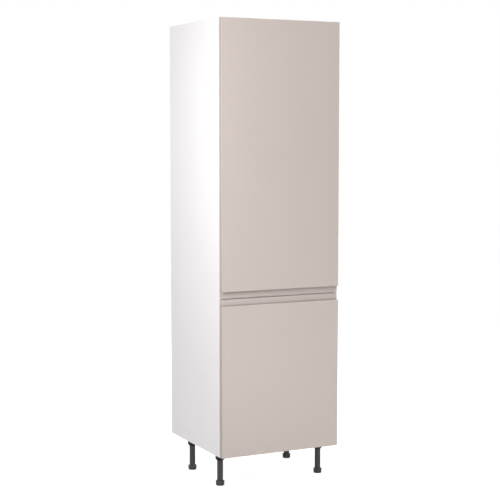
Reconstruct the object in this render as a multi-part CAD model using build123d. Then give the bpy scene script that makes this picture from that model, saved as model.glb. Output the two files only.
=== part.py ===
from build123d import *
import math
import os

# A tall larder unit: a white board carcass on four legs, closed by two slab doors with J-pull finger
# grooves, each hung on concealed hinges. Millimetres, +Z up, the doors face -Y, the hinges are on +X.
# The origin is on the floor, under the middle of the whole unit.

# Carcass
UNIT_WIDTH = 600.0
CARCASS_DEPTH = 560.0
CARCASS_HEIGHT = 1970.0
LEG_HEIGHT = 152.0
BOARD = 18.0
BACK_BOARD = 8.0
SERVICE_VOID = 42.0
GROOVE_DEPTH = 6.0
GROOVE_PLAY = 0.1
GROOVE_END_PLAY = 0.5
RAIL_HEIGHT = 100.0
WALL_HOLE_RADIUS = 3.0
WALL_HOLE_INSET = 120.0
WALL_HOLE_PLAY = 1.0

# Doors
DOOR_THICKNESS = 22.0
LOWER_DOOR_HEIGHT = 720.0
DOOR_GAP = 4.0
SIDE_REVEAL = 1.5
END_REVEAL = 0.5
BUFFER_GAP = 2.0
DOOR_EDGE_RADIUS = 1.5

# J-pull groove, measured in the door's thickness and inward from the door's edge
PULL_BACK_WALL = 8.0
PULL_LIP = 5.0
PULL_LIP_DROP = 30.0
PULL_TROUGH_DROP = 8.0

# Shelves and their supports
SHELF_SIDE_PLAY = 1.0
SHELF_SETBACK = 20.0
SHELF_BACK_PLAY = 3.0
UPPER_SHELVES = 2
LOWER_SHELVES = 1
HOLE_ROW_FRONT = 37.0
HOLE_ROW_SPACING = 384.0
HOLE_PITCH = 32.0
PEG_RADIUS = 2.5
PEG_PLAY = 0.05
PEG_LENGTH = 9.0
PEG_END_PLAY = 3.0
PEG_BELOW_SHELF = 5.0
SUPPORT_WIDTH = 12.0
SUPPORT_PLATE = 1.5
SUPPORT_LEDGE = 10.0
SUPPORT_LEDGE_THICKNESS = 2.5
SUPPORT_DROP = 11.0

# Dowels that join the boards
DOWEL_RADIUS = 4.0
DOWEL_LENGTH = 30.0
DOWEL_IN_SIDE = 11.5
DOWEL_PLAY = 0.05
DOWEL_END_PLAY = 0.5
DOWEL_FROM_FRONT = 60.0
DOWEL_FROM_BACK = 100.0

# Legs
LEG_FROM_SIDE = 43.5
LEG_FROM_FRONT = 90.5
LEG_FROM_BACK = 151.0
SOCKET_RADIUS = 21.5
SOCKET_RIM = 29.0
SOCKET_HEIGHT = 35.0
SOCKET_MOUTH_RADIUS = 15.8
SOCKET_ROOF = 5.0
TUBE_RADIUS = 13.9
TUBE_WALL = 2.9
TUBE_PLAY = 0.1
FOOT_HEIGHT = 21.0
FOOT_RADIUS = 20.5
FOOT_BASE_RADIUS = 19.2
FOOT_CHAMFER = 0.8
STEM_PLAY = 0.4
STEM_LENGTH = 45.0
GRIPS = 6
GRIP_RADIUS = 5.0
GRIP_DEPTH = 2.8
GRIP_LOW = 3.0
GRIP_HIGH = 16.0

# Door buffers
BUFFER_RADIUS = 4.5
BUFFER_PLAY = 0.3
BUFFER_FROM_END = 60.0

# Concealed hinges along the doors
UPPER_HINGES = 3
LOWER_HINGES = 2
HINGE_FROM_END = 100.0
HINGE_FROM_PULL = 130.0

# Hinge pivots in plan, doors shut. The first number is inward from the inner face of the side panel. The
# second is back from the carcass front on the arm, and deep into the door from its back in the cup.
OUTER_ARM_PIN = (11.95, -1.79)
INNER_ARM_PIN = (20.0, 16.0)
OUTER_CUP_PIN = (-4.78, 7.57)
INNER_CUP_PIN = (-5.71, 2.5)
OUTER_BEND = (4.5, 10.0)
OUTER_ELBOW = (15.57, 10.0)
INNER_ELBOW = (4.97, 6.62)

# Hinge sections
PIN_RADIUS = 1.1
PIN_PLAY = 0.05
LINK_HALF_WIDTH = 2.2
LINK_GAP = 0.3
OUTER_LINK_HALF_HEIGHT = 2.4
INNER_LINK_SHEET = 1.2
SLOT_PLAY = 0.4
SLOT_SHORT = 1.15
SLOT_LONG = 2.65
SLOT_RIM = 1.1
ARM_SHEET = 1.5
ARM_EYE_RADIUS = 3.0
ARM_SHOULDER = 22.0
ARM_END = 60.0
ARM_WEB_INWARD = 12.5
ARM_FOOT_INWARD = 5.0
CUP_CENTRE_INWARD = 6.0
CUP_RADIUS = 17.5
CUP_PLAY = 0.05
CUP_WALL = 0.95
CUP_FLOOR = 0.5
CUP_BORE_DEPTH = 13.0
CUP_RIM = 1.1
CUP_RELIEF_DEPTH = 4.0
CUP_RELIEF_RADIUS = 15.5
EAR_SPACING = 45.0
EAR_OFFSET = 9.5
EAR_RADIUS = 5.5
PLATE_THICKNESS = 2.0
PLATE_SCREW_FRONT = 37.0
PLATE_SCREW_SPACING = 32.0
PLATE_WING = 6.0
PLATE_STRIP = 7.0
PLATE_START = 18.0
RIDGE_PLAY = 0.1

# Room past a face for cutting tools
MARGIN = 5.0

# Flats on the small round pieces and holes that repeat, on the rounded ends of the links, and on the
# larger round pieces of the legs and the hinge cups
SMALL_SIDES = 10
ROUND_SIDES = 24

# Levels and faces that follow from the sizes above
UNIT_DEPTH = CARCASS_DEPTH + BUFFER_GAP + DOOR_THICKNESS
DOOR_FRONT = -UNIT_DEPTH / 2
DOOR_BACK = DOOR_FRONT + DOOR_THICKNESS
CARCASS_FRONT = DOOR_BACK + BUFFER_GAP
CARCASS_BACK = CARCASS_FRONT + CARCASS_DEPTH
CARCASS_BOTTOM = LEG_HEIGHT
CARCASS_TOP = CARCASS_BOTTOM + CARCASS_HEIGHT
OUTER_FACE = UNIT_WIDTH / 2
INNER_FACE = OUTER_FACE - BOARD
BACK_REAR = CARCASS_BACK - SERVICE_VOID
BACK_FRONT = BACK_REAR - BACK_BOARD
LOWER_DOOR_BOTTOM = CARCASS_BOTTOM + END_REVEAL
LOWER_DOOR_TOP = LOWER_DOOR_BOTTOM + LOWER_DOOR_HEIGHT
UPPER_DOOR_BOTTOM = LOWER_DOOR_TOP + DOOR_GAP
UPPER_DOOR_TOP = CARCASS_TOP - END_REVEAL
DOOR_HALF_WIDTH = OUTER_FACE - SIDE_REVEAL
FLOOR_TOP = CARCASS_BOTTOM + BOARD
CEILING = CARCASS_TOP - BOARD
FIXED_SHELF_BOTTOM = LOWER_DOOR_TOP + DOOR_GAP / 2 - BOARD / 2
FIXED_SHELF_TOP = FIXED_SHELF_BOTTOM + BOARD
SOCKET_FLOOR = CARCASS_BOTTOM - SOCKET_ROOF

# Heights of the hinge layers above and below the middle of each hinge
CHEEK_LOW = OUTER_LINK_HALF_HEIGHT + LINK_GAP
CHEEK_HIGH = CHEEK_LOW + ARM_SHEET
INNER_LINK_LOW = CHEEK_HIGH + LINK_GAP
INNER_LINK_HIGH = INNER_LINK_LOW + INNER_LINK_SHEET
ARM_PIN_HALF = INNER_LINK_HIGH + LINK_GAP


def even_levels(low, high, count):
    # heights of pieces spread evenly from one end height to the other
    return [low + (high - low) * step / (count - 1) for step in range(count)]


def shelf_levels(low, high, count):
    # undersides of shelves that split a compartment into even parts
    middles = [low + (high - low) * step / (count + 1) for step in range(1, count + 1)]
    return [middle - BOARD / 2 for middle in middles]


LOWER_SHELF_LEVELS = shelf_levels(FLOOR_TOP, FIXED_SHELF_BOTTOM, LOWER_SHELVES)
UPPER_SHELF_LEVELS = shelf_levels(FIXED_SHELF_TOP, CEILING, UPPER_SHELVES)
PEG_LEVELS = [level - PEG_BELOW_SHELF for level in LOWER_SHELF_LEVELS + UPPER_SHELF_LEVELS]
PEG_ROWS = [CARCASS_FRONT + HOLE_ROW_FRONT, CARCASS_FRONT + HOLE_ROW_FRONT + HOLE_ROW_SPACING]
UPPER_HINGE_LEVELS = even_levels(
    UPPER_DOOR_BOTTOM + HINGE_FROM_PULL, UPPER_DOOR_TOP - HINGE_FROM_END, UPPER_HINGES
)
LOWER_HINGE_LEVELS = even_levels(
    LOWER_DOOR_BOTTOM + HINGE_FROM_END, LOWER_DOOR_TOP - HINGE_FROM_PULL, LOWER_HINGES
)


def block(x, y, z):
    # a box between a low and a high value on each axis
    size = [high - low for low, high in (x, y, z)]
    centre = [(low + high) / 2 for low, high in (x, y, z)]
    return Pos(*centre) * Box(*size)


def rod(outline, start, direction, length):
    # a straight bar from one end point along a direction
    return extrude(Plane(start, z_dir=direction) * outline, length)


def small_round(radius):
    # the section of a small round piece, drawn with flats
    return RegularPolygon(radius, SMALL_SIDES)


def large_round(radius):
    # the section of a larger round piece, drawn with flats
    return RegularPolygon(radius, ROUND_SIDES)


def group(shapes):
    # several separate solids kept under one name
    return Compound([solid for shape in shapes for solid in shape.solids()])


def side_span(side, low=INNER_FACE, high=OUTER_FACE):
    # the X span of something that lies beyond the inner face of one side
    return sorted((side * low, side * high))


def back_groove(z):
    # the slot that takes the back panel's edges, as wide as the panel and its play
    reach = INNER_FACE + GROOVE_DEPTH
    return block((-reach, reach), (BACK_FRONT - GROOVE_PLAY, BACK_REAR + GROOVE_PLAY), z)


def dowel_places():
    # depth and height of the dowels that cross the inner face of either side
    boards = [FLOOR_TOP - BOARD / 2, FIXED_SHELF_TOP - BOARD / 2, CEILING + BOARD / 2]
    depths = [CARCASS_FRONT + DOWEL_FROM_FRONT, CARCASS_BACK - DOWEL_FROM_BACK]
    return [(depth, level) for level in boards for depth in depths]


def dowel(side, depth, level, play=0.0, end_play=0.0):
    # one dowel, or with play the bore that takes it
    start = (side * (INNER_FACE + DOWEL_IN_SIDE + end_play), depth, level)
    return rod(small_round(DOWEL_RADIUS + play), start, (-side, 0, 0), DOWEL_LENGTH + 2 * end_play)


def dowel_bores(sides, low, high):
    # the dowel bores of the given sides whose heights lie between two levels
    return [
        dowel(side, depth, level, DOWEL_PLAY, DOWEL_END_PLAY)
        for side in sides
        for depth, level in dowel_places()
        if low < level < high
    ]


def peg(side, depth, level, play=0.0, end_play=0.0):
    # the round peg of a shelf support, or with play the hole that takes it
    start = (side * INNER_FACE, depth, level)
    return rod(small_round(PEG_RADIUS + play), start, (side, 0, 0), PEG_LENGTH + end_play)


def side_panel(side):
    panel = block(side_span(side), (CARCASS_FRONT, CARCASS_BACK), (CARCASS_BOTTOM, CARCASS_TOP))
    holes = [
        peg(side, row, level + step * HOLE_PITCH, PEG_PLAY, PEG_END_PLAY)
        for row in PEG_ROWS
        for level in PEG_LEVELS
        for step in (-1, 0, 1)
    ]
    bores = dowel_bores([side], CARCASS_BOTTOM, CARCASS_TOP)
    return panel - [back_groove((CARCASS_BOTTOM, CARCASS_TOP))] - bores - holes


def board(bottom, depth=(CARCASS_FRONT, CARCASS_BACK)):
    # a level board between the sides, bored at both ends for its dowels
    blank = block((-INNER_FACE, INNER_FACE), depth, (bottom, bottom + BOARD))
    return blank - dowel_bores((-1, 1), bottom, bottom + BOARD)


def leg_places():
    # name and plan place of each leg
    front = CARCASS_FRONT + LEG_FROM_FRONT
    rear = CARCASS_BACK - LEG_FROM_BACK
    side = OUTER_FACE - LEG_FROM_SIDE
    return {
        "front_left": (-side, front),
        "front_right": (side, front),
        "rear_left": (-side, rear),
        "rear_right": (side, rear),
    }


def base_panel():
    return board(CARCASS_BOTTOM) - back_groove((FLOOR_TOP - GROOVE_DEPTH, FLOOR_TOP))


def top_panel():
    return board(CEILING) - back_groove((CEILING, CEILING + GROOVE_DEPTH))


def fixed_shelf():
    below = back_groove((FIXED_SHELF_BOTTOM, FIXED_SHELF_BOTTOM + GROOVE_DEPTH))
    above = back_groove((FIXED_SHELF_TOP - GROOVE_DEPTH, FIXED_SHELF_TOP))
    return board(FIXED_SHELF_BOTTOM) - [below, above]


def wall_holes(outline):
    # the two screw holes through the top rail, which go on through the back panel in front of it
    level = CEILING - RAIL_HEIGHT / 2
    length = CARCASS_BACK - BACK_FRONT + 2 * MARGIN
    across = INNER_FACE - WALL_HOLE_INSET
    starts = [(side * across, BACK_FRONT - MARGIN, level) for side in (-1, 1)]
    return [rod(outline, start, (0, 1, 0), length) for start in starts]


def back_panel(low, high):
    # a thin panel whose four edges stand in the grooves
    reach = GROOVE_DEPTH - GROOVE_END_PLAY
    half = INNER_FACE + reach
    return block((-half, half), (BACK_FRONT, BACK_REAR), (low - reach, high + reach))


def rear_rail(top):
    return block((-INNER_FACE, INNER_FACE), (CARCASS_BACK - BOARD, CARCASS_BACK), (top - RAIL_HEIGHT, top))


def loose_shelf(bottom):
    half = INNER_FACE - SHELF_SIDE_PLAY
    depth = (CARCASS_FRONT + SHELF_SETBACK, BACK_FRONT - SHELF_BACK_PLAY)
    return block((-half, half), depth, (bottom, bottom + BOARD))


def shelf_support(side, depth, level):
    # an angled bracket on a peg: the shelf lies on its ledge
    top = level + PEG_BELOW_SHELF
    outline = [
        (INNER_FACE, top),
        (INNER_FACE - SUPPORT_LEDGE, top),
        (INNER_FACE - SUPPORT_LEDGE, top - SUPPORT_LEDGE_THICKNESS),
        (INNER_FACE - SUPPORT_PLATE, top - SUPPORT_DROP),
        (INNER_FACE, top - SUPPORT_DROP),
    ]
    corners = [(side * x, depth - SUPPORT_WIDTH / 2, z) for x, z in outline]
    profile = make_face(Polyline(*corners, close=True))
    return extrude(profile, SUPPORT_WIDTH, dir=(0, 1, 0)) + peg(side, depth, level)


def shelf_supports():
    places = [(side, row, level) for level in PEG_LEVELS for side in (-1, 1) for row in PEG_ROWS]
    return group([shelf_support(*place) for place in places])


def column(low, high, low_radius, high_radius):
    # an upright tapered column about the Z axis, closed by flat faces
    rings = [
        [(p.X, p.Y, z) for p in large_round(radius).vertices().sort_by(lambda v: math.atan2(v.Y, v.X))]
        for z, radius in ((low, low_radius), (high, high_radius))
    ]
    sides = [
        [rings[0][i - 1], rings[0][i], rings[1][i], rings[1][i - 1]] for i in range(ROUND_SIDES)
    ]
    faces = [make_face(Polyline(*outline, close=True)).face() for outline in rings + sides]
    return Solid(Shell(faces))


def leg_socket(x, y):
    # a round cap under the base, with a mouth for the tube below
    shoulder, end = CARCASS_BOTTOM - SOCKET_RIM, CARCASS_BOTTOM - SOCKET_HEIGHT
    rim = rod(large_round(SOCKET_RADIUS), (0, 0, shoulder), (0, 0, 1), SOCKET_RIM)
    mouth = rod(large_round(TUBE_RADIUS + TUBE_PLAY), (0, 0, end), (0, 0, 1), SOCKET_FLOOR - end)
    return Pos(x, y, 0) * (rim + column(end, shoulder, SOCKET_MOUTH_RADIUS, SOCKET_RADIUS) - mouth)


def leg_tube(x, y):
    section = large_round(TUBE_RADIUS) - small_round(TUBE_RADIUS - TUBE_WALL)
    return rod(section, (x, y, FOOT_HEIGHT), (0, 0, 1), SOCKET_FLOOR - FOOT_HEIGHT)


def leg_foot(x, y):
    # a flared foot with finger grips, and the stem that screws up into the tube
    shoulder = FOOT_HEIGHT - FOOT_CHAMFER
    flare = column(0, shoulder, FOOT_BASE_RADIUS, FOOT_RADIUS)
    crown = column(shoulder, FOOT_HEIGHT, FOOT_RADIUS, FOOT_RADIUS - FOOT_CHAMFER)
    thread = small_round(TUBE_RADIUS - TUBE_WALL - STEM_PLAY)
    stem = rod(thread, (0, 0, FOOT_HEIGHT), (0, 0, 1), STEM_LENGTH)
    reach = FOOT_RADIUS - GRIP_DEPTH + GRIP_RADIUS
    turns = [math.radians(360 * (grip + 0.5) / GRIPS) for grip in range(GRIPS)]
    starts = [(reach * math.cos(turn), reach * math.sin(turn), GRIP_LOW) for turn in turns]
    grips = [rod(small_round(GRIP_RADIUS), start, (0, 0, 1), GRIP_HIGH - GRIP_LOW) for start in starts]
    return Pos(x, y, 0) * (flare + crown - grips + stem)


def pull_groove(edge, inward):
    # the J-shaped finger groove along a door's edge, as a bar to cut away; inward is +1 or -1
    wall = DOOR_BACK - PULL_BACK_WALL
    lip = DOOR_FRONT + PULL_LIP
    bend = (wall - lip) / 2
    lip_side = edge + inward * (PULL_LIP_DROP + PULL_LIP / 2)
    trough_side = edge + inward * (PULL_LIP_DROP + PULL_TROUGH_DROP)
    trough_end = trough_side + inward * bend
    outside = edge - inward * MARGIN
    start = -DOOR_HALF_WIDTH - MARGIN

    def at(y, z):
        return (start, y, z)

    back = Line(at(wall, outside), at(wall, trough_side))
    trough = ThreePointArc(at(wall, trough_side), at(wall - bend, trough_end), at(lip, trough_side))
    inner_lip = Line(at(lip, trough_side), at(lip, lip_side))
    nose = ThreePointArc(
        at(lip, lip_side), at(lip - PULL_LIP / 2, lip_side - inward * PULL_LIP / 2), at(DOOR_FRONT, lip_side)
    )
    front = Polyline(
        at(DOOR_FRONT, lip_side),
        at(DOOR_FRONT - MARGIN, lip_side),
        at(DOOR_FRONT - MARGIN, outside),
        at(wall, outside),
    )
    profile = make_face(back + trough + inner_lip + nose + front)
    return extrude(profile, -2 * start, dir=(1, 0, 0))


def door(low, high, pull_edge, inward, hinge_levels):
    slab = block((-DOOR_HALF_WIDTH, DOOR_HALF_WIDTH), (DOOR_FRONT, DOOR_BACK), (low, high))
    edges = slab.faces().sort_by(Axis.Y)[0].edges()
    soft = [edge for edge in edges if abs(edge.center().Z - pull_edge) > DOOR_EDGE_RADIUS]
    slab = fillet(soft, DOOR_EDGE_RADIUS)
    x = INNER_FACE - CUP_CENTRE_INWARD
    bore = large_round(CUP_RADIUS)
    bores = [rod(bore, (x, DOOR_BACK, z), (0, -1, 0), CUP_BORE_DEPTH) for z in hinge_levels]
    return slab - [pull_groove(pull_edge, inward), *bores]


def door_buffers(low, high):
    # two soft pads on the door's back, over the edge of the left side panel
    x = BOARD / 2 - OUTER_FACE
    levels = (low + BUFFER_FROM_END, high - BUFFER_FROM_END)
    length = BUFFER_GAP - BUFFER_PLAY
    return group([rod(small_round(BUFFER_RADIUS), (x, DOOR_BACK, z), (0, 1, 0), length) for z in levels])


def on_arm(place):
    # a plan point of the hinge's carcass half
    return (INNER_FACE - place[0], CARCASS_FRONT + place[1])


def in_cup(place):
    # a plan point of the hinge's door half, doors shut
    return (INNER_FACE - place[0], DOOR_BACK - place[1])


def knob(place, half_width):
    # the rounded end of a link, drawn with flats
    return Pos(*place) * RegularPolygon(half_width, SMALL_SIDES, major_radius=False)


def bar(places, half_width):
    # the outline stretched round the given places, in plan
    return make_hull([edge for place in places for edge in knob(place, half_width).edges()])


def chain(places, half_width):
    # bars from each place to the next, joined
    first, *others = [bar(pair, half_width) for pair in zip(places, places[1:])]
    return first + others


def layer(outline, low, high):
    # a plan outline given its height
    return extrude(Pos(0, 0, low) * outline, high - low)


def both_layers(outline, low, high):
    # the same outline above and below the middle of a hinge
    return [layer(outline, low, high), layer(outline, -high, -low)]


def pin(place):
    # the round section of a pin that carries the door's weight
    return Pos(*place) * Circle(PIN_RADIUS)


def light_pin(place):
    # the section of a pin that only guides, drawn with flats
    return Pos(*place) * small_round(PIN_RADIUS)


def eye(place):
    # the hole that a pin turns in, drawn with flats that clear the pin
    return knob(place, PIN_RADIUS + PIN_PLAY)


def outer_link():
    # the thick hooked link between the arm's cheeks
    arm_pin, cup_pin = on_arm(OUTER_ARM_PIN), in_cup(OUTER_CUP_PIN)
    corners = [cup_pin, in_cup(OUTER_BEND), in_cup(OUTER_ELBOW), arm_pin]
    outline = chain(corners, LINK_HALF_WIDTH) - [eye(arm_pin), eye(cup_pin)]
    return [layer(outline, -OUTER_LINK_HALF_HEIGHT, OUTER_LINK_HALF_HEIGHT)]


def inner_links():
    # the two flat links outside the arm's cheeks, each slotted for the arm pin
    arm_pin, elbow, cup_pin = on_arm(INNER_ARM_PIN), in_cup(INNER_ELBOW), in_cup(INNER_CUP_PIN)
    across, back = arm_pin[0] - cup_pin[0], arm_pin[1] - cup_pin[1]
    turn = math.degrees(math.atan2(back, across))
    half = PIN_RADIUS + SLOT_PLAY
    slot = Rectangle(SLOT_SHORT + SLOT_LONG + 2 * half, 2 * half)
    end = Rectangle(SLOT_SHORT + SLOT_LONG + 2 * half + 2 * SLOT_RIM, 2 * half + 2 * SLOT_RIM)
    seat = Pos(*arm_pin) * Rot(0, 0, turn) * Pos((SLOT_LONG - SLOT_SHORT) / 2, 0)
    outline = chain([cup_pin, elbow, arm_pin], LINK_HALF_WIDTH) + seat * end
    return both_layers(outline - [seat * slot, eye(cup_pin)], INNER_LINK_LOW, INNER_LINK_HIGH)


def hinge_arm():
    # a folded arm over the mounting plate: two cheeks, a web and the two arm pins
    outer_pin, inner_pin = on_arm(OUTER_ARM_PIN), on_arm(INNER_ARM_PIN)
    web = on_arm((ARM_WEB_INWARD + ARM_SHEET, ARM_SHOULDER))
    tail = on_arm((ARM_FOOT_INWARD, ARM_END))
    shoulder = (web[0] + ARM_EYE_RADIUS, web[1])
    back = make_face(Polyline(web, (web[0], tail[1]), tail, (tail[0], web[1]), close=True))
    cheek = bar([outer_pin, inner_pin, shoulder], ARM_EYE_RADIUS) + back
    bridge = block((web[0], web[0] + ARM_SHEET), (web[1], tail[1]), (-CHEEK_HIGH, CHEEK_HIGH))
    pins = [
        layer(pin(outer_pin), -CHEEK_HIGH, CHEEK_HIGH),
        layer(light_pin(inner_pin), -ARM_PIN_HALF, ARM_PIN_HALF),
    ]
    first, second = both_layers(cheek, CHEEK_LOW, CHEEK_HIGH)
    return [first + [second, bridge, *pins]]


def mounting_plate():
    # a cross-shaped plate on the side panel with a ridge that carries the arm
    face, wing = on_arm((0, 0))[0], PLATE_SCREW_SPACING / 2 + PLATE_WING
    span = (face - PLATE_THICKNESS, face)
    front = CARCASS_FRONT + PLATE_SCREW_FRONT
    strip = (CARCASS_FRONT + PLATE_START, CARCASS_FRONT + ARM_END)
    cross = block(span, strip, (-PLATE_STRIP, PLATE_STRIP))
    wings = block(span, (front - PLATE_WING, front + PLATE_WING), (-wing, wing))
    half = CHEEK_LOW - RIDGE_PLAY
    ridge_start = CARCASS_FRONT + ARM_SHOULDER
    ridge = block((face - ARM_WEB_INWARD, face), (ridge_start, strip[1]), (-half, half))
    return [cross + [wings, ridge]]


def hinge_cup():
    # the pressed cup in the door's back, with its screw strap and its two pins
    x, rim = INNER_FACE - CUP_CENTRE_INWARD, DOOR_BACK + CUP_RIM
    outer, inner = CUP_RADIUS - CUP_PLAY, CUP_RADIUS - CUP_PLAY - CUP_WALL
    depth = CUP_BORE_DEPTH - CUP_PLAY
    ears = [(x - EAR_OFFSET, side * EAR_SPACING / 2) for side in (-1, 1)]
    strap = Plane(origin=(0, rim, 0), x_dir=(1, 0, 0), z_dir=(0, -1, 0)) * bar(ears, EAR_RADIUS)
    bowl = rod(large_round(outer), (x, rim, 0), (0, -1, 0), CUP_RIM + depth)
    body = bowl + extrude(strap, CUP_RIM, dir=(0, -1, 0))
    mouth = rod(large_round(inner), (x, rim, 0), (0, -1, 0), CUP_RIM + depth - CUP_FLOOR)
    relief_half = OUTER_LINK_HALF_HEIGHT + LINK_GAP
    relief = block(
        (x + CUP_RELIEF_RADIUS, x + CUP_RADIUS),
        (DOOR_BACK - CUP_RELIEF_DEPTH, rim),
        (-relief_half, relief_half),
    )
    core = rod(large_round((inner + outer) / 2), (x, DOOR_BACK, 0), (0, -1, 0), depth)
    full_pin = layer(pin(in_cup(OUTER_CUP_PIN)), -inner, inner)
    stubs = both_layers(light_pin(in_cup(INNER_CUP_PIN)), CHEEK_HIGH + LINK_GAP / 2, inner)
    return [body - [mouth, relief] + [piece & core for piece in (full_pin, *stubs)]]


def every(pieces, levels):
    # copies of one hinge's pieces, drawn about height zero, at each hinge height
    return group([Pos(0, 0, level) * piece for level in levels for piece in pieces])


def all_parts():
    cup, outer, inner = hinge_cup(), outer_link(), inner_links()
    screw_ways = wall_holes(small_round(WALL_HOLE_RADIUS + WALL_HOLE_PLAY))
    parts = {
        "side_panel_left": side_panel(-1),
        "side_panel_right": side_panel(1),
        "base_panel": base_panel(),
        "top_panel": top_panel(),
        "fixed_shelf": fixed_shelf(),
        "back_panel_lower": back_panel(FLOOR_TOP, FIXED_SHELF_BOTTOM),
        "back_panel_upper": back_panel(FIXED_SHELF_TOP, CEILING) - screw_ways,
        "rear_rail_top": rear_rail(CEILING) - wall_holes(Circle(WALL_HOLE_RADIUS)),
        "rear_rail_middle": rear_rail(FIXED_SHELF_BOTTOM),
        "dowels": group([dowel(side, *place) for side in (-1, 1) for place in dowel_places()]),
        "shelf_supports": shelf_supports(),
        "hinge_mounting_plates": every(mounting_plate(), UPPER_HINGE_LEVELS + LOWER_HINGE_LEVELS),
        "hinge_arms": every(hinge_arm(), UPPER_HINGE_LEVELS + LOWER_HINGE_LEVELS),
        "upper_door": door(
            UPPER_DOOR_BOTTOM, UPPER_DOOR_TOP, UPPER_DOOR_BOTTOM, 1, UPPER_HINGE_LEVELS
        ),
        "upper_door_buffers": door_buffers(UPPER_DOOR_BOTTOM, UPPER_DOOR_TOP),
        "upper_hinge_cups": every(cup, UPPER_HINGE_LEVELS),
        "upper_outer_links": every(outer, UPPER_HINGE_LEVELS),
        "upper_inner_links": every(inner, UPPER_HINGE_LEVELS),
        "lower_door": door(LOWER_DOOR_BOTTOM, LOWER_DOOR_TOP, LOWER_DOOR_TOP, -1, LOWER_HINGE_LEVELS),
        "lower_door_buffers": door_buffers(LOWER_DOOR_BOTTOM, LOWER_DOOR_TOP),
        "lower_hinge_cups": every(cup, LOWER_HINGE_LEVELS),
        "lower_outer_links": every(outer, LOWER_HINGE_LEVELS),
        "lower_inner_links": every(inner, LOWER_HINGE_LEVELS),
    }
    for number, level in enumerate(LOWER_SHELF_LEVELS, 1):
        parts[f"lower_shelf_{number}"] = loose_shelf(level)
    for number, level in enumerate(UPPER_SHELF_LEVELS, 1):
        parts[f"upper_shelf_{number}"] = loose_shelf(level)
    for name, (x, y) in leg_places().items():
        parts[f"leg_socket_{name}"] = leg_socket(x, y)
        parts[f"leg_tube_{name}"] = leg_tube(x, y)
        parts[f"leg_foot_{name}"] = leg_foot(x, y)
    return parts


os.makedirs("parts", exist_ok=True)
for name, shape in all_parts().items():
    export_step(shape, f"parts/{name}.step")
    print(name, len(shape.solids()), "solids", round(shape.volume / 1000, 1), "cm3")
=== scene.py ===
# %% [markdown]
# # A tall larder unit, dressed in Blender
# The real object is a kitchen cabinet as tall as a person can reach: a white board carcass on four dark
# plastic legs, closed by two cashmere doors that meet at a full-width finger groove. A solid model already
# gives every piece its size and place. This lesson gives the pieces their finishes, builds the small parts
# that need more shape, and sets up the studio.
#
# The solid model is loaded first, and stays where it is: everything else is measured from it.

# %% Load the solid model
import math
import bmesh
import bpy
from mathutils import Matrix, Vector


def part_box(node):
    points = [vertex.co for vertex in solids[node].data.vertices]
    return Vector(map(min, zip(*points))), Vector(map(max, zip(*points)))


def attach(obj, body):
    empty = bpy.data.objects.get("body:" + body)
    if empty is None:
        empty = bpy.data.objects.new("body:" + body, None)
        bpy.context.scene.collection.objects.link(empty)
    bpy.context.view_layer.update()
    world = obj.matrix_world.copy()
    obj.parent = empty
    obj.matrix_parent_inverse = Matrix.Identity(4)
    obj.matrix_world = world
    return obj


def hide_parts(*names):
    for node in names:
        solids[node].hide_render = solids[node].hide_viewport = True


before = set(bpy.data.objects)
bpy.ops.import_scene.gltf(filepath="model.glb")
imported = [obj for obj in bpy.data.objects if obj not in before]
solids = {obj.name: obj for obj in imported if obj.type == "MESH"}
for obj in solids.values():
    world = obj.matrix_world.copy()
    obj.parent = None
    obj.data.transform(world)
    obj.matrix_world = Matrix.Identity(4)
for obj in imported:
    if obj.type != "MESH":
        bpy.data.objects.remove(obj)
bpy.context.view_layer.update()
print("pieces in the solid model:", len(solids))

# %% [markdown]
# ## Finishes
# A finish is a small tree of shader nodes. Flat colour looks like a computer drawing, because nothing in a
# kitchen is that even: lacquer has a faint orange-peel ripple, a moulded leg has a fine spark-eroded grain,
# and every cut edge is broken by a tiny radius that catches the light. Image textures could carry that, but
# noise that is worked out from the object's own coordinates needs no file and never shows a seam, so each
# finish here is procedural. A few helpers keep the trees short.

# %% Helpers for shader trees
def new_finish(name):
    """An empty finish: the material, its node tree and its Principled shader."""
    finish = bpy.data.materials.new(name)
    finish.use_nodes = True
    return finish, finish.node_tree, finish.node_tree.nodes["Principled BSDF"]


def add(tree, kind, inputs=None, **settings):
    """One node, with its settings and the values of its inputs."""
    made = tree.nodes.new(kind)
    for key, value in settings.items():
        setattr(made, key, value)
    for key, value in (inputs or {}).items():
        made.inputs[key].default_value = value
    return made


def object_noise(tree, scale, detail=2.0, stretch=(1, 1, 1)):
    """Noise that is fixed to the piece. The scale is in blotches for each metre."""
    place = add(tree, "ShaderNodeTexCoord")
    mapping = add(tree, "ShaderNodeMapping", {"Scale": stretch})
    noise = add(tree, "ShaderNodeTexNoise", {"Scale": scale, "Detail": detail})
    tree.links.new(place.outputs["Object"], mapping.inputs["Vector"])
    tree.links.new(mapping.outputs["Vector"], noise.inputs["Vector"])
    return noise.outputs["Fac"]


def spread(tree, factor, low, high):
    """The middle of the noise's range, stretched to lie between two values."""
    ends = {"From Min": 0.3, "From Max": 0.7, "To Min": low, "To Max": high}
    made = add(tree, "ShaderNodeMapRange", ends)
    tree.links.new(factor, made.inputs["Value"])
    return made.outputs["Result"]


def blend_colours(tree, factor, first, second):
    """A colour that wanders between two close ones."""
    made = add(tree, "ShaderNodeMix", data_type="RGBA")
    made.inputs["A"].default_value = (*first, 1)
    made.inputs["B"].default_value = (*second, 1)
    tree.links.new(factor, made.inputs["Factor"])
    return made.outputs["Result"]


def highest(tree, values):
    """The highest of some values."""
    total = values[0]
    for value in values[1:]:
        both = add(tree, "ShaderNodeMath", operation="MAXIMUM")
        tree.links.new(total, both.inputs[0])
        tree.links.new(value, both.inputs[1])
        total = both.outputs["Value"]
    return total


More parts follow.
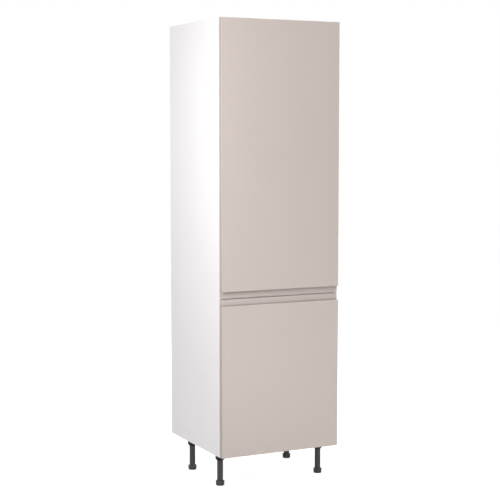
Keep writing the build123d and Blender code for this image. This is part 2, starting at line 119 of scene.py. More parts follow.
def painted_recess_shade(tree, colour, reach, closed, deepest):
    """The same colour with painted shade: deeper where the piece's own shape closes round it within the given
    reach.

    A point is wholly open at 1. At closed, and below, the colour is multiplied by deepest.
    """
    # Painted shade: an ambient occlusion node darkens the colour in hollows, where shade would fall.
    shelter = add(tree, "ShaderNodeAmbientOcclusion", {"Distance": reach}, samples=8, only_local=True)
    ends = {"From Min": closed, "From Max": 0.97, "To Min": deepest, "To Max": 1.0}
    shade = add(tree, "ShaderNodeMapRange", ends)
    tree.links.new(shelter.outputs["AO"], shade.inputs["Value"])
    made = add(tree, "ShaderNodeVectorMath", operation="SCALE")
    tree.links.new(colour, made.inputs[0])
    tree.links.new(shade.outputs["Result"], made.inputs["Scale"])
    return made.outputs["Vector"]


def surface(tree, shader, ripple, height, edge_radius):
    """A soft broken edge, and a ripple of the given height in metres on top of it."""
    edge = add(tree, "ShaderNodeBevel", {"Radius": edge_radius}, samples=6)
    bump = add(tree, "ShaderNodeBump", {"Strength": 0.5, "Distance": height})
    tree.links.new(ripple, bump.inputs["Height"])
    tree.links.new(edge.outputs["Normal"], bump.inputs["Normal"])
    tree.links.new(bump.outputs["Normal"], shader.inputs["Normal"])


# %% [markdown]
# ### Painted and faced board
# The doors are lacquered in a warm beige called cashmere, with a satin face that spreads a highlight wide.
# Their upright edges get a deeper colour, chosen by the way a face points, and the finger groove gets
# painted shade: its colour is darkened where its walls close in. The carcass is particle board faced with
# white melamine, which is a little glossier and almost white. Both get a colour that drifts by a percent or
# two, a roughness that varies, and a ripple of a few hundredths of a millimetre. The melamine stops at the
# cut edges, where real board shows its pressed chips, so that finish mixes in a speckled brown there.

# %% The cashmere lacquer
def shades(colour, change):
    """The colour a little lighter, and the colour a little darker."""
    return tuple(c * (1 + change) for c in colour), tuple(c * (1 - change) for c in colour)


def faces_sideways(tree):
    """1 on the faces that point to the piece's own left or right, and 0 elsewhere."""
    place = add(tree, "ShaderNodeTexCoord")
    facing = add(tree, "ShaderNodeSeparateXYZ")
    tree.links.new(place.outputs["Normal"], facing.inputs["Vector"])
    sideways = add(tree, "ShaderNodeMath", operation="ABSOLUTE")
    tree.links.new(facing.outputs["X"], sideways.inputs[0])
    upright_mask = add(tree, "ShaderNodeMath", {1: 0.9}, operation="GREATER_THAN")
    tree.links.new(sideways.outputs["Value"], upright_mask.inputs[0])
    return upright_mask.outputs["Value"]


def either(tree, mask, first, second):
    """The first colour where the mask is 0, and the second where it is 1."""
    made = add(tree, "ShaderNodeMix", data_type="RGBA")
    tree.links.new(mask, made.inputs["Factor"])
    tree.links.new(first, made.inputs["A"])
    tree.links.new(second, made.inputs["B"])
    return made.outputs["Result"]


def satin_lacquer(name, colour, edge_colour):
    finish, tree, shader = new_finish(name)
    drift = spread(tree, object_noise(tree, 2.2, 1.0), 0, 1)
    face, edge = (blend_colours(tree, drift, *shades(c, 0.012)) for c in (colour, edge_colour))
    whole = either(tree, faces_sideways(tree), face, edge)
    # Painted shade: the colour is darkened where the door's own shape closes in, as in the finger groove.
    shaded = painted_recess_shade(tree, whole, reach=0.03, closed=0.3, deepest=0.75)
    tree.links.new(shaded, shader.inputs["Base Color"])
    tree.links.new(spread(tree, object_noise(tree, 60), 0.40, 0.47), shader.inputs["Roughness"])
    shader.inputs["Specular IOR Level"].default_value = 0.35
    surface(tree, shader, object_noise(tree, 420, 1.5), height=0.00004, edge_radius=0.0008)
    return finish


CASHMERE = (0.566, 0.499, 0.459)
# The door's upright edges are given this deeper colour, about three quarters of the face's.
DARKER_UPRIGHT_EDGE = (0.428, 0.377, 0.347)
cashmere = satin_lacquer("cashmere_lacquer", CASHMERE, DARKER_UPRIGHT_EDGE)
print("door finish:", cashmere.name, "with", len(cashmere.node_tree.nodes), "nodes")


# %% The white melamine, and the raw chips at its cut edges
WHITE, SOFTER_WHITE = (0.87, 0.838, 0.857), (0.855, 0.824, 0.843)
PALE_CHIP, DARK_CHIP = (0.50, 0.36, 0.22), (0.25, 0.155, 0.085)


def pressed_chips(tree):
    """The speckled brown of a cut board edge."""
    place = add(tree, "ShaderNodeTexCoord")
    chips = add(tree, "ShaderNodeTexVoronoi", {"Scale": 520.0, "Randomness": 1.0})
    shade = add(tree, "ShaderNodeSeparateColor")
    tree.links.new(place.outputs["Object"], chips.inputs["Vector"])
    tree.links.new(chips.outputs["Color"], shade.inputs["Color"])
    return blend_colours(tree, shade.outputs["Red"], PALE_CHIP, DARK_CHIP)


def faces_along(tree, direction):
    """1 on the faces that point in a direction, and 0 elsewhere. The carcass never turns."""
    facing = add(tree, "ShaderNodeNewGeometry")
    along = add(tree, "ShaderNodeVectorMath", operation="DOT_PRODUCT")
    along.inputs[1].default_value = direction
    tree.links.new(facing.outputs["True Normal"], along.inputs[0])
    cut = add(tree, "ShaderNodeMath", {1: 0.95}, operation="GREATER_THAN")
    tree.links.new(along.outputs["Value"], cut.inputs[0])
    return cut.outputs["Value"]


def melamine(name, raw_faces=()):
    """White faced board. raw_faces are the directions of the cut faces that were left without a face."""
    finish, tree, shader = new_finish(name)
    colour = blend_colours(tree, spread(tree, object_noise(tree, 3, 1), 0, 1), WHITE, SOFTER_WHITE)
    if raw_faces:
        raw = highest(tree, [faces_along(tree, direction) for direction in raw_faces])
        colour = either(tree, raw, colour, pressed_chips(tree))
    tree.links.new(colour, shader.inputs["Base Color"])
    tree.links.new(spread(tree, object_noise(tree, 45), 0.36, 0.44), shader.inputs["Roughness"])
    shader.inputs["Specular IOR Level"].default_value = 0.4
    surface(tree, shader, object_noise(tree, 900, 2), height=0.00003, edge_radius=0.0005)
    return finish


BACKWARDS, UP, DOWN = (0, 1, 0), (0, 0, 1), (0, 0, -1)
white_side = melamine("white_board_side", [BACKWARDS, DOWN])
white_level = melamine("white_board_level", [BACKWARDS])
white_rail = melamine("white_board_rail", [UP, DOWN])
white_plain = melamine("white_board_plain")
print("board finishes:", white_side.name, white_level.name, white_rail.name, white_plain.name)

# %% [markdown]
# ### Moulded plastic, pressed steel and wood
# The legs are dark grey plastic with the fine grain of a spark-eroded mould, with painted shade, a deeper
# grey, where their shape closes in, as inside the notches. The hinges are steel with a nickel or zinc coat:
# fully metallic, fairly smooth, with faint marks stretched along the way the strip was rolled. The dowels
# inside the joints are beech, so their noise is stretched along the grain.

# %% Plastic, steel and beech
def moulded_plastic(name, colour, rough, closed=0.6):
    finish, tree, shader = new_finish(name)
    shader.inputs["Specular IOR Level"].default_value = 0.22
    deep = tuple(c * 0.9 for c in colour)
    drift = blend_colours(tree, object_noise(tree, 30), colour, deep)
    # Painted shade: the colour is darkened where the moulding's own shape closes in, as in the notches of the
    # feet.
    shaded = painted_recess_shade(tree, drift, reach=0.008, closed=closed, deepest=0.2)
    tree.links.new(shaded, shader.inputs["Base Color"])
    patchy = spread(tree, object_noise(tree, 300), rough - 0.04, rough + 0.05)
    tree.links.new(patchy, shader.inputs["Roughness"])
    surface(tree, shader, object_noise(tree, 2600, 3), height=0.00006, edge_radius=0.0004)
    return finish


def plated_steel(name, colour, rough, stretch):
    finish, tree, shader = new_finish(name)
    deep = tuple(c * 0.93 for c in colour)
    marks = object_noise(tree, 500, 3, stretch)
    tree.links.new(blend_colours(tree, marks, colour, deep), shader.inputs["Base Color"])
    tree.links.new(spread(tree, marks, rough - 0.05, rough + 0.07), shader.inputs["Roughness"])
    shader.inputs["Metallic"].default_value = 1.0
    surface(tree, shader, marks, height=0.00002, edge_radius=0.0003)
    return finish


def beech(name):
    finish, tree, shader = new_finish(name)
    grain = object_noise(tree, 300, 4, (0.08, 1, 1))
    colour = blend_colours(tree, grain, (0.62, 0.42, 0.25), (0.44, 0.27, 0.14))
    tree.links.new(colour, shader.inputs["Base Color"])
    tree.links.new(spread(tree, grain, 0.5, 0.65), shader.inputs["Roughness"])
    surface(tree, shader, grain, height=0.0001, edge_radius=0.0003)
    return finish


leg_plastic = moulded_plastic("leg_plastic", (0.068, 0.061, 0.064), 0.46)
foot_plastic = moulded_plastic("foot_plastic", (0.088, 0.080, 0.084), 0.42, closed=0.72)
socket_plastic = moulded_plastic("socket_plastic", (0.008, 0.0075, 0.008), 0.5)
nickel = plated_steel("nickel_plate", (0.72, 0.70, 0.67), 0.28, (1, 1, 0.05))
zinc = plated_steel("zinc_plate", (0.62, 0.62, 0.62), 0.36, (1, 0.05, 1))
beech_wood = beech("beech")
small_finishes = [leg_plastic, foot_plastic, socket_plastic, nickel, zinc, beech_wood]
print("small-part finishes:", [finish.name for finish in small_finishes])


# %% The soft clear pads
def clear_pad(name):
    """Soft clear plastic with a frosted face."""
    finish, tree, shader = new_finish(name)
    shader.inputs["Base Color"].default_value = (0.86, 0.87, 0.86, 1)
    shader.inputs["Transmission Weight"].default_value = 0.55
    shader.inputs["IOR"].default_value = 1.45
    tree.links.new(spread(tree, object_noise(tree, 900), 0.28, 0.42), shader.inputs["Roughness"])
    surface(tree, shader, object_noise(tree, 1500), height=0.00004, edge_radius=0.0003)
    return finish


soft_clear = clear_pad("soft_clear_pad")
print("pad finish:", soft_clear.name)

# %% [markdown]
# ### Giving the solid pieces their finish
# A solid piece keeps its shape and only gets a finish in its material slots. The names say which piece is
# which, so one table does the whole unit.

# %% Dress the solid pieces
FINISHES = {
    "side_panel": white_side,
    "base_panel": white_level,
    "top_panel": white_level,
    "fixed_shelf": white_plain,
    "lower_shelf": white_plain,
    "upper_shelf": white_plain,
    "back_panel": white_plain,
    "rear_rail": white_rail,
    "dowels": beech_wood,
    "shelf_supports": nickel,
    "hinge_mounting_plates": zinc,
    "hinge_arms": nickel,
    "upper_hinge_cups": nickel,
    "lower_hinge_cups": nickel,
    "upper_outer_links": zinc,
    "lower_outer_links": zinc,
    "upper_inner_links": nickel,
    "lower_inner_links": nickel,
    "upper_door_buffers": soft_clear,
    "lower_door_buffers": soft_clear,
    "upper_door": cashmere,
    "lower_door": cashmere,
    "leg_socket": socket_plastic,
    "leg_tube": leg_plastic,
    "leg_foot": foot_plastic,
}


def dress(piece, finish):
    """One finish for the whole piece."""
    piece.data.materials.clear()
    piece.data.materials.append(finish)


for name, piece in solids.items():
    start = max((key for key in FINISHES if name.startswith(key)), key=len)
    dress(piece, FINISHES[start])
print("dressed", len(solids), "solid pieces with", len({f.name for f in FINISHES.values()}), "finishes")

# %% [markdown]
# ## Legs
# Each leg is three mouldings: a socket under the base, a plain tube, and a foot that screws in and out to
# level the cabinet. All three are round, so a lathe is the natural tool: a list of rings, each a height and
# a radius, is joined into a skin. The foot also has six finger notches, so its ring function lets the radius
# depend on the angle. Doing this by hand in mesh code, rather than with the Screw modifier, keeps the notch
# edges crisp and the ends closed.

# %% A lathe that can also cut notches
STEPS = 96
ANGLES = [2 * math.pi * step / STEPS for step in range(STEPS)]


def even(radius):
    """The same radius at every angle."""
    return lambda angle: radius


def ring(mesh, centre, height, radius):
    """The vertices of one ring, whose radius depends on the angle."""
    made = []
    for angle in ANGLES:
        x = centre[0] + radius(angle) * math.cos(angle)
        y = centre[1] + radius(angle) * math.sin(angle)
        made.append(mesh.verts.new((x, y, height)))
    return made


def skin(name, rings, centre, capped=True):
    """A closed skin through rings of (height, radius by angle): capped at its ends, or joined in a loop."""
    mesh = bmesh.new()
    loops = [ring(mesh, centre, height, radius) for height, radius in rings]
    pairs = list(zip(loops, loops[1:]))
    if not capped:
        pairs.append((loops[-1], loops[0]))
    for low, high in pairs:
        for i in range(STEPS):
            mesh.faces.new((low[i - 1], low[i], high[i], high[i - 1]))
    if capped:
        mesh.faces.new(loops[0])
        mesh.faces.new(loops[-1])
    bmesh.ops.recalc_face_normals(mesh, faces=mesh.faces)
    data = bpy.data.meshes.new(name)
    mesh.to_mesh(data)
    mesh.free()
    return keep(name, data)


def keep(name, data, sharp=35):
    """A new piece from a mesh, smooth but for its sharp edges."""
    piece = bpy.data.objects.new(name, data)
    bpy.context.scene.collection.objects.link(piece)
    data.shade_smooth()
    data.set_sharp_from_angle(angle=math.radians(sharp))
    return piece


def middle(name):
    """The middle of a solid piece's box."""
    low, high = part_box(name)
    return (low + high) / 2


LEGS = ["front_left", "front_right", "rear_left", "rear_right"]
print("leg places:", {leg: [round(v, 4) for v in middle("leg_tube_" + leg)] for leg in LEGS})

# %% [markdown]
# ### Sockets and tubes
# The socket is a nearly black cap: an upright rim under the base, then a short cone that narrows to the
# tube. The tube is open inside, where the foot's thread runs, so its rings go down the outside and come back
# up the inside as one loop.

# %% Turn the sockets and the tubes
SOFT, CONE = 0.0006, 0.006
TUBE_WALL, TUBE_PLAY = 0.0029, 0.0001
MOUTH_WALL, MOUTH_BREAK = 0.0019, 0.0004
ROOF_HOLE = 0.001


def socket_rings(low, high, rim, tube, roof):
    """Down the outside of the rim and its cone, round the mouth, and up the hole that holds the tube."""
    mouth, shoulder = low, low + CONE
    return [
        (high, even(rim)),
        (shoulder + SOFT, even(rim)),
        (shoulder, even(rim - SOFT)),
        (mouth + SOFT, even(tube + MOUTH_WALL)),
        (mouth, even(tube + MOUTH_WALL - MOUTH_BREAK)),
        (mouth, even(tube + TUBE_PLAY)),
        (roof, even(tube + TUBE_PLAY)),
        (roof, even(ROOF_HOLE)),
        (high, even(ROOF_HOLE)),
    ]


def tube_rings(low, high, tube):
    """Down the outside, round the lower edge and up the bore."""
    bore = tube - TUBE_WALL
    return [
        (high, even(tube)),
        (low + SOFT, even(tube)),
        (low, even(tube - SOFT)),
        (low, even(bore + SOFT)),
        (low + SOFT, even(bore)),
        (high, even(bore)),
    ]


for leg in LEGS:
    low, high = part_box("leg_socket_" + leg)
    tube_low, tube_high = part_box("leg_tube_" + leg)
    centre = middle("leg_socket_" + leg)
    rim, tube = (high.x - low.x) / 2, (tube_high.x - tube_low.x) / 2
    socket_skin = socket_rings(low.z, high.z, rim, tube, tube_high.z)
    socket = skin("socket_" + leg, socket_skin, centre, capped=False)
    pipe = skin("tube_" + leg, tube_rings(tube_low.z, tube_high.z, tube), centre, capped=False)
    dress(socket, socket_plastic)
    dress(pipe, leg_plastic)
    for piece, node in ((socket, "leg_socket_" + leg), (pipe, "leg_tube_" + leg)):
        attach(piece, "carcass")
        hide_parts(node)
print("socket rim radius", round(rim, 4), "tube radius", round(tube, 4))

# %% [markdown]
# ### Feet
# The foot flares a little towards its top and has six rounded notches for the fingers. Where a notch of
# radius g is cut with its middle at a distance d from the axis, the skin at an angle t from the notch lies at
# d cos t - sqrt(g^2 - d^2 sin^2 t), or on the foot's own circle if that is nearer the axis. That one
# formula gives every ring between the two ends of the notch.

# %% Turn the feet
NOTCHES, NOTCH_RADIUS, NOTCH_DEPTH = 6, 0.005, 0.0028
NOTCH_LOW, NOTCH_HIGH, NOTCH_SLOPE = 0.003, 0.016, 0.0004
FOOT_BASE, FOOT_TOP, FOOT_BREAK = 0.0192, 0.0205, 0.0008
BREAK_DROP, BREAK_INSET = 0.0002, 0.0003


def notched(radius):
    """The same radius but for the notches, the first of which lies half a pitch round from the X axis."""
    notch_middle = FOOT_TOP - NOTCH_DEPTH + NOTCH_RADIUS
    pitch = 2 * math.pi / NOTCHES

    def at(angle):
        off = angle % pitch - pitch / 2
        inside = NOTCH_RADIUS**2 - (notch_middle * math.sin(off)) ** 2
        if inside < 0:
            return radius
        return min(radius, notch_middle * math.cos(off) - math.sqrt(inside))

    return at


def foot_rings(top):
    """Up the flared side of a foot, through its notches, to the broken edge at its top."""

    def flare(height):
        return FOOT_BASE + (FOOT_TOP - FOOT_BASE) * height / top

    return [
        (0, even(FOOT_BASE - FOOT_BREAK)),
        (FOOT_BREAK, even(FOOT_BASE)),
        (NOTCH_LOW, even(flare(NOTCH_LOW))),
        (NOTCH_LOW + NOTCH_SLOPE, notched(flare(NOTCH_LOW))),
        (NOTCH_HIGH - NOTCH_SLOPE, notched(flare(NOTCH_HIGH))),
        (NOTCH_HIGH, even(flare(NOTCH_HIGH))),
        (top - FOOT_BREAK, even(FOOT_TOP)),
        (top - BREAK_DROP, even(FOOT_TOP - BREAK_INSET)),
        (top, even(FOOT_TOP - FOOT_BREAK)),
    ]


for leg in LEGS:
    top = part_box("leg_tube_" + leg)[0].z
    foot = skin("foot_" + leg, foot_rings(top), middle("leg_foot_" + leg))
    dress(foot, foot_plastic)
    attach(foot, "foot_" + leg)
    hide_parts("leg_foot_" + leg)
print("foot height", round(top, 4))

# %% [markdown]
# ### The thread on a foot's stem
# The stem that screws up into the tube follows a rule: a ridge that climbs by one pitch for each turn. In
# Geometry Nodes that is a spiral curve with a small diamond swept along it, joined to a plain core. The
# sizes are the tree's named inputs, so the same tree serves every foot, and the ridge shows when a foot is
# wound out.

# %% Helpers for Geometry Nodes
def new_tree(name, sockets):
    """A node tree with one geometry output and the named inputs, as (name, kind, value)."""
    tree = bpy.data.node_groups.new(name, "GeometryNodeTree")
    face = tree.interface
    face.new_socket("Geometry", in_out="OUTPUT", socket_type="NodeSocketGeometry")
    face.new_socket("Geometry", in_out="INPUT", socket_type="NodeSocketGeometry")
    for label, kind, value in sockets:
        made = face.new_socket(label, in_out="INPUT", socket_type=kind)
        if value is not None:
            made.default_value = value
    return tree, add(tree, "NodeGroupInput"), add(tree, "NodeGroupOutput")


def close_tree(tree, group_input, group_output, geometry):
    """Every tree ends the same way: real meshes, then the finish."""
    real = add(tree, "GeometryNodeRealizeInstances")
    paint = add(tree, "GeometryNodeSetMaterial")
    tree.links.new(geometry, real.inputs["Geometry"])
    tree.links.new(real.outputs["Geometry"], paint.inputs["Geometry"])
    tree.links.new(group_input.outputs["Finish"], paint.inputs["Material"])
    tree.links.new(paint.outputs["Geometry"], group_output.inputs["Geometry"])


def grow(name, tree, values, points, facing=None):
    """The plain mesh that a tree makes on some points, as a new piece. facing holds one direction a point."""
    seed = bpy.data.meshes.new(name + "_points")
    seed.from_pydata([tuple(p) for p in points], [], [])
    if facing:
        attribute = seed.attributes.new("facing", "FLOAT_VECTOR", "POINT")
        attribute.data.foreach_set("vector", [v for direction in facing for v in direction])
    carrier = bpy.data.objects.new(name + "_carrier", seed)
    bpy.context.scene.collection.objects.link(carrier)
    modifier = carrier.modifiers.new("grow", "NODES")
    modifier.node_group = tree
    for item in tree.interface.items_tree:
        if item.in_out == "INPUT" and item.name in values:
            modifier[item.identifier] = values[item.name]
    grown = carrier.evaluated_get(bpy.context.evaluated_depsgraph_get())
    data = bpy.data.meshes.new_from_object(grown)
    bpy.data.objects.remove(carrier)
    data.name = name
    return keep(name, data)


# %% The thread tree
thread_tree, thread_in, thread_out = new_tree(
    "screw_thread",
    [
        ("Core radius", "NodeSocketFloat", 0.0094),
        ("Ridge", "NodeSocketFloat", 0.0012),
        ("Height", "NodeSocketFloat", 0.045),
        ("Turns", "NodeSocketFloat", 9.0),
        ("Finish", "NodeSocketMaterial", None),
    ],
)
links = thread_tree.links
spiral = add(thread_tree, "GeometryNodeCurveSpiral", {"Resolution": 40})
diamond = add(thread_tree, "GeometryNodeCurvePrimitiveCircle", {"Resolution": 4})
ridge = add(thread_tree, "GeometryNodeCurveToMesh", {"Fill Caps": True})
core = add(thread_tree, "GeometryNodeMeshCylinder", {"Vertices": 48})
lift = add(thread_tree, "GeometryNodeTransform")
half = add(thread_tree, "ShaderNodeMath", {1: 0.5}, operation="MULTIPLY")
up = add(thread_tree, "ShaderNodeCombineXYZ")
join = add(thread_tree, "GeometryNodeJoinGeometry")
place = add(thread_tree, "GeometryNodeInstanceOnPoints")
for label in ("Start Radius", "End Radius"):
    links.new(thread_in.outputs["Core radius"], spiral.inputs[label])
links.new(thread_in.outputs["Turns"], spiral.inputs["Rotations"])
links.new(thread_in.outputs["Height"], spiral.inputs["Height"])
links.new(thread_in.outputs["Ridge"], diamond.inputs["Radius"])
links.new(spiral.outputs["Curve"], ridge.inputs["Curve"])
links.new(diamond.outputs["Curve"], ridge.inputs["Profile Curve"])
links.new(thread_in.outputs["Core radius"], core.inputs["Radius"])
links.new(thread_in.outputs["Height"], core.inputs["Depth"])
links.new(thread_in.outputs["Height"], half.inputs[0])
links.new(half.outputs["Value"], up.inputs["Z"])
links.new(core.outputs["Mesh"], lift.inputs["Geometry"])
links.new(up.outputs["Vector"], lift.inputs["Translation"])
links.new(ridge.outputs["Mesh"], join.inputs["Geometry"])
links.new(lift.outputs["Geometry"], join.inputs["Geometry"])
links.new(thread_in.outputs["Geometry"], place.inputs["Points"])
links.new(join.outputs["Geometry"], place.inputs["Instance"])
close_tree(thread_tree, thread_in, thread_out, place.outputs["Instances"])

# %% Grow a thread on each foot
THREAD_TURNS, THREAD_END = 9.0, 0.0015
for leg in LEGS:
    stem_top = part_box("leg_foot_" + leg)[1].z
    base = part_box("leg_tube_" + leg)[0].z
    centre = middle("leg_foot_" + leg)
    values = {"Height": stem_top - base - THREAD_END, "Turns": THREAD_TURNS, "Finish": leg_plastic}
    stem = grow("foot_thread_" + leg, thread_tree, values, [(centre.x, centre.y, base)])
    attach(stem, "foot_" + leg)
print("thread faces on one foot:", len(stem.data.polygons))

# %% [markdown]
# ## Screws
# Crossed screws hold the ears of the five hinge cups, the five mounting plates and the arms. They repeat, so
# they are grown on points: each point says where a head sits, and an attribute says which way it faces.
# The cross is cut once, in the tree, before the head is copied to the points. Each screw is turned by its
# own amount, as an assembler leaves them, from a fixed seed.

# %% The screw tree
CROWN_SHARE, CROSS_SHARE, ANY_TURN = 0.72, 1.05, 3.14
screw_tree, screw_in, screw_out = new_tree(
    "crossed_screw",
    [
        ("Head radius", "NodeSocketFloat", 0.0034),
        ("Head height", "NodeSocketFloat", 0.0012),
        ("Cross width", "NodeSocketFloat", 0.0009),
        ("Seed", "NodeSocketInt", 4),
        ("Finish", "NodeSocketMaterial", None),
    ],
)
links = screw_tree.links
head = add(screw_tree, "GeometryNodeMeshCone", {"Vertices": 24})
crown = add(screw_tree, "ShaderNodeMath", {1: CROWN_SHARE}, operation="MULTIPLY")
arm_length = add(screw_tree, "ShaderNodeMath", {1: CROSS_SHARE}, operation="MULTIPLY")
cut = add(screw_tree, "GeometryNodeMeshBoolean", operation="DIFFERENCE")
links.new(screw_in.outputs["Head radius"], head.inputs["Radius Bottom"])
links.new(screw_in.outputs["Head radius"], crown.inputs[0])
links.new(crown.outputs["Value"], head.inputs["Radius Top"])
links.new(screw_in.outputs["Head height"], head.inputs["Depth"])
links.new(screw_in.outputs["Head radius"], arm_length.inputs[0])
links.new(head.outputs["Mesh"], cut.inputs["Mesh 1"])
for turned in (False, True):
    size = add(screw_tree, "ShaderNodeCombineXYZ")
    links.new(arm_length.outputs["Value"], size.inputs["Y" if turned else "X"])
    links.new(screw_in.outputs["Cross width"], size.inputs["X" if turned else "Y"])
    links.new(screw_in.outputs["Head height"], size.inputs["Z"])
    bar = add(screw_tree, "GeometryNodeMeshCube")
    links.new(size.outputs["Vector"], bar.inputs["Size"])
    raise_bar = add(screw_tree, "GeometryNodeTransform")
    lift = add(screw_tree, "ShaderNodeCombineXYZ")
    links.new(screw_in.outputs["Head height"], lift.inputs["Z"])
    links.new(lift.outputs["Vector"], raise_bar.inputs["Translation"])
    links.new(bar.outputs["Mesh"], raise_bar.inputs["Geometry"])
    links.new(raise_bar.outputs["Geometry"], cut.inputs["Mesh 2"])
facing = add(screw_tree, "GeometryNodeInputNamedAttribute", {"Name": "facing"}, data_type="FLOAT_VECTOR")
aim = add(screw_tree, "FunctionNodeAlignRotationToVector", axis="Z")
place = add(screw_tree, "GeometryNodeInstanceOnPoints")
turn = add(screw_tree, "FunctionNodeRandomValue", {"Max": ANY_TURN}, data_type="FLOAT")
spin = add(screw_tree, "ShaderNodeCombineXYZ")
roll = add(screw_tree, "GeometryNodeRotateInstances", {"Local Space": True})
links.new(facing.outputs["Attribute"], aim.inputs["Vector"])
links.new(screw_in.outputs["Geometry"], place.inputs["Points"])
links.new(cut.outputs["Mesh"], place.inputs["Instance"])
links.new(aim.outputs["Rotation"], place.inputs["Rotation"])
links.new(screw_in.outputs["Seed"], turn.inputs["Seed"])
links.new([o for o in turn.outputs if o.enabled][0], spin.inputs["Z"])
links.new(place.outputs["Instances"], roll.inputs["Instances"])
links.new(spin.outputs["Vector"], roll.inputs["Rotation"])
close_tree(screw_tree, screw_in, screw_out, roll.outputs["Instances"])

# %% [markdown]
# The screws of a cup move with its door, and those of a mounting plate or an arm stay with the carcass, so
# they are grown as separate pieces. The levels of the hinges are read from the solid cups: the vertices of
# one cup lie within its height, and cups are far apart.

# %% Find the hinge levels
def levels_of(name, apart=0.1):
    """The middle heights of the separate solids in one piece."""
    heights = sorted(v.co.z for v in solids[name].data.vertices)
    groups = [[heights[0]]]
    for height in heights[1:]:
        if height - groups[-1][-1] > apart:
            groups.append([])
        groups[-1].append(height)
    return [(group[0] + group[-1]) / 2 for group in groups]


HINGES = {part: levels_of(part + "_hinge_cups") for part in ("upper", "lower")}
print("hinge levels:", {part: [round(z, 4) for z in levels] for part, levels in HINGES.items()})

# %% Grow the screws
def screws_on(name, spots, facing, body, values):
    """Screw heads at some spots of one body, all facing one way."""
    made = grow(name, screw_tree, values, spots, [facing] * len(spots))
    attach(made, body)


# Where the heads sit: on the ears of a cup, on the face of a plate, and on the inward face of an arm's web
EAR_X, EAR_Z = 0.2665, 0.0225
PLATE_FACE, PLATE_Y, PLATE_Z = 0.280, -0.231, 0.016
WEB_FACE, WEB_SCREWS = 0.268, (-0.236, -0.217)
ear_values = {"Finish": zinc, "Head height": 0.0008}
for part, levels in HINGES.items():
    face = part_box(part + "_hinge_cups")[1].y
    spots = [(EAR_X, face, z + side * EAR_Z) for z in levels for side in (-1, 1)]
    screws_on(part + "_cup_screws", spots, (0, 1, 0), part + "_door_leaf", ear_values)

every_level = [z for levels in HINGES.values() for z in levels]
plate_values = {"Finish": nickel, "Head radius": 0.0038}
spots = [(PLATE_FACE, PLATE_Y, z + side * PLATE_Z) for z in every_level for side in (-1, 1)]
screws_on("plate_screws", spots, (-1, 0, 0), "carcass", plate_values)

spots = [(WEB_FACE, y, z) for z in every_level for y in WEB_SCREWS]
arm_values = {"Finish": zinc, "Head radius": 0.0030, "Head height": 0.001}
screws_on("arm_screws", spots, (-1, 0, 0), "carcass", arm_values)
print("screw heads:", len(every_level) * 6)

# %% [markdown]
# ## The studio
# The photograph was cut out on white, and lit from high on the left. A light grey floor and an even white
# world give that background. The floor's own shader adds light for rays that show the studio itself, so that
# it reads as white where nothing shades it. The upper front of the left side panel is as white as in the
# photograph, so its outline is lost in the background there, and most of all from the left and from behind.
# Two more boxes light the right side and the back, which the photograph doesn't show, so that those sides
# keep their colours in other views. The camera stands where the photograph's camera stood, which was fitted
# to the corners of the unit.

# %% Floor and world
FLOOR_REACH, FLOOR_GREY, FLOOR_GLOW, WORLD_LIGHT = 14.0, (0.5, 0.5, 0.5, 1), 0.8, 0.365
WHITE_LIGHT = (1, 1, 1, 1)


def seen_directly(tree):
    """1 for rays that show the studio itself: from the camera, in a reflection or through glass."""
    rays = add(tree, "ShaderNodeLightPath")
    kinds = ("Is Camera Ray", "Is Glossy Ray", "Is Transmission Ray")
    return highest(tree, [rays.outputs[kind] for kind in kinds])


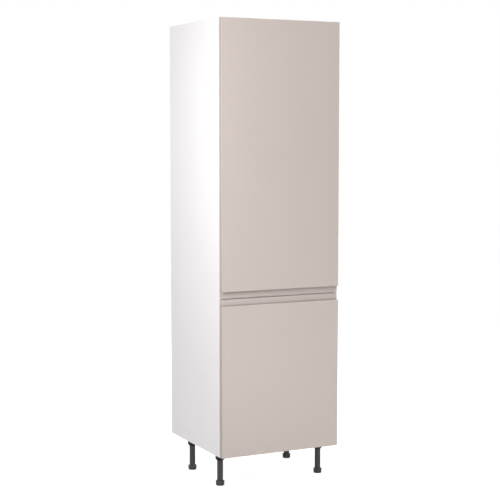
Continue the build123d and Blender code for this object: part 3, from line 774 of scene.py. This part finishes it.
floor_mesh = bpy.data.meshes.new("floor")
corners = [(x * FLOOR_REACH, y * FLOOR_REACH, 0) for x, y in ((-1, -1), (1, -1), (1, 1), (-1, 1))]
floor_mesh.from_pydata(corners, [], [(0, 1, 2, 3)])
floor = bpy.data.objects.new("floor", floor_mesh)
bpy.context.scene.collection.objects.link(floor)
paint, tree, shader = new_finish("studio_floor")
tree.links.new(spread(tree, object_noise(tree, 1.5), 0.85, 0.9), shader.inputs["Roughness"])
shader.inputs["Base Color"].default_value = FLOOR_GREY
shader.inputs["Specular IOR Level"].default_value = 0.1
glow = add(tree, "ShaderNodeMath", {1: FLOOR_GLOW}, operation="MULTIPLY")
tree.links.new(seen_directly(tree), glow.inputs[0])
shader.inputs["Emission Color"].default_value = WHITE_LIGHT
tree.links.new(glow.outputs["Value"], shader.inputs["Emission Strength"])
dress(floor, paint)

world = bpy.data.worlds.new("studio")
bpy.context.scene.world = world
world.use_nodes = True
tree = world.node_tree
background = tree.nodes["Background"]
level = add(tree, "ShaderNodeMapRange", {"To Min": WORLD_LIGHT, "To Max": 1.0})
tree.links.new(seen_directly(tree), level.inputs["Value"])
tree.links.new(level.outputs["Result"], background.inputs["Strength"])
background.inputs["Color"].default_value = WHITE_LIGHT
print("floor", 2 * FLOOR_REACH, "m wide, world light", WORLD_LIGHT)


# %% Lamps and camera
def lamp(name, place, target, size, watts):
    """A square soft box, aimed at a point and unseen by the camera."""
    data = bpy.data.lights.new(name, "AREA")
    data.size = size
    data.energy = watts
    made = bpy.data.objects.new(name, data)
    bpy.context.scene.collection.objects.link(made)
    made.location = place
    made.rotation_euler = (Vector(target) - Vector(place)).to_track_quat("-Z", "Y").to_euler()
    made.visible_camera = False


# Each lamp's place, the point it is aimed at, its size in metres and its watts
lamp("left_box", (-1.8, -1.05, 1.8), (-0.3, -0.15, 1.5), 0.8, 33.5)
lamp("top_box", (0.0, -1.5, 5.2), (0.0, -0.29, 1.2), 1.2, 84)
lamp("low_front_box", (0.3, -1.9, 0.28), (0.0, -0.3, 0.3), 0.8, 7.2)
lamp("right_box", (2.4, -3.2, 1.6), (0.1, -0.3, 1.4), 1.2, 9.5)
lamp("right_side_box", (3.2, 0.9, 1.7), (0.3, 0.1, 1.1), 1.2, 48)
lamp("back_box", (0.7, 3.6, 2.0), (0.0, 0.3, 1.1), 1.2, 48)

camera_data = bpy.data.cameras.new("camera")
camera_data.sensor_width = 36.0
camera_data.lens = 92.32
camera_data.clip_end = 100.0
camera = bpy.data.objects.new("camera", camera_data)
bpy.context.scene.collection.objects.link(camera)
camera.location = (-2.685, -5.441, 1.594)
camera.rotation_euler = (math.radians(85.0), 0.0, math.radians(-26.13))
bpy.context.scene.camera = camera
bpy.context.scene.view_settings.view_transform = "Standard"
print("camera at", tuple(round(v, 3) for v in camera.location))
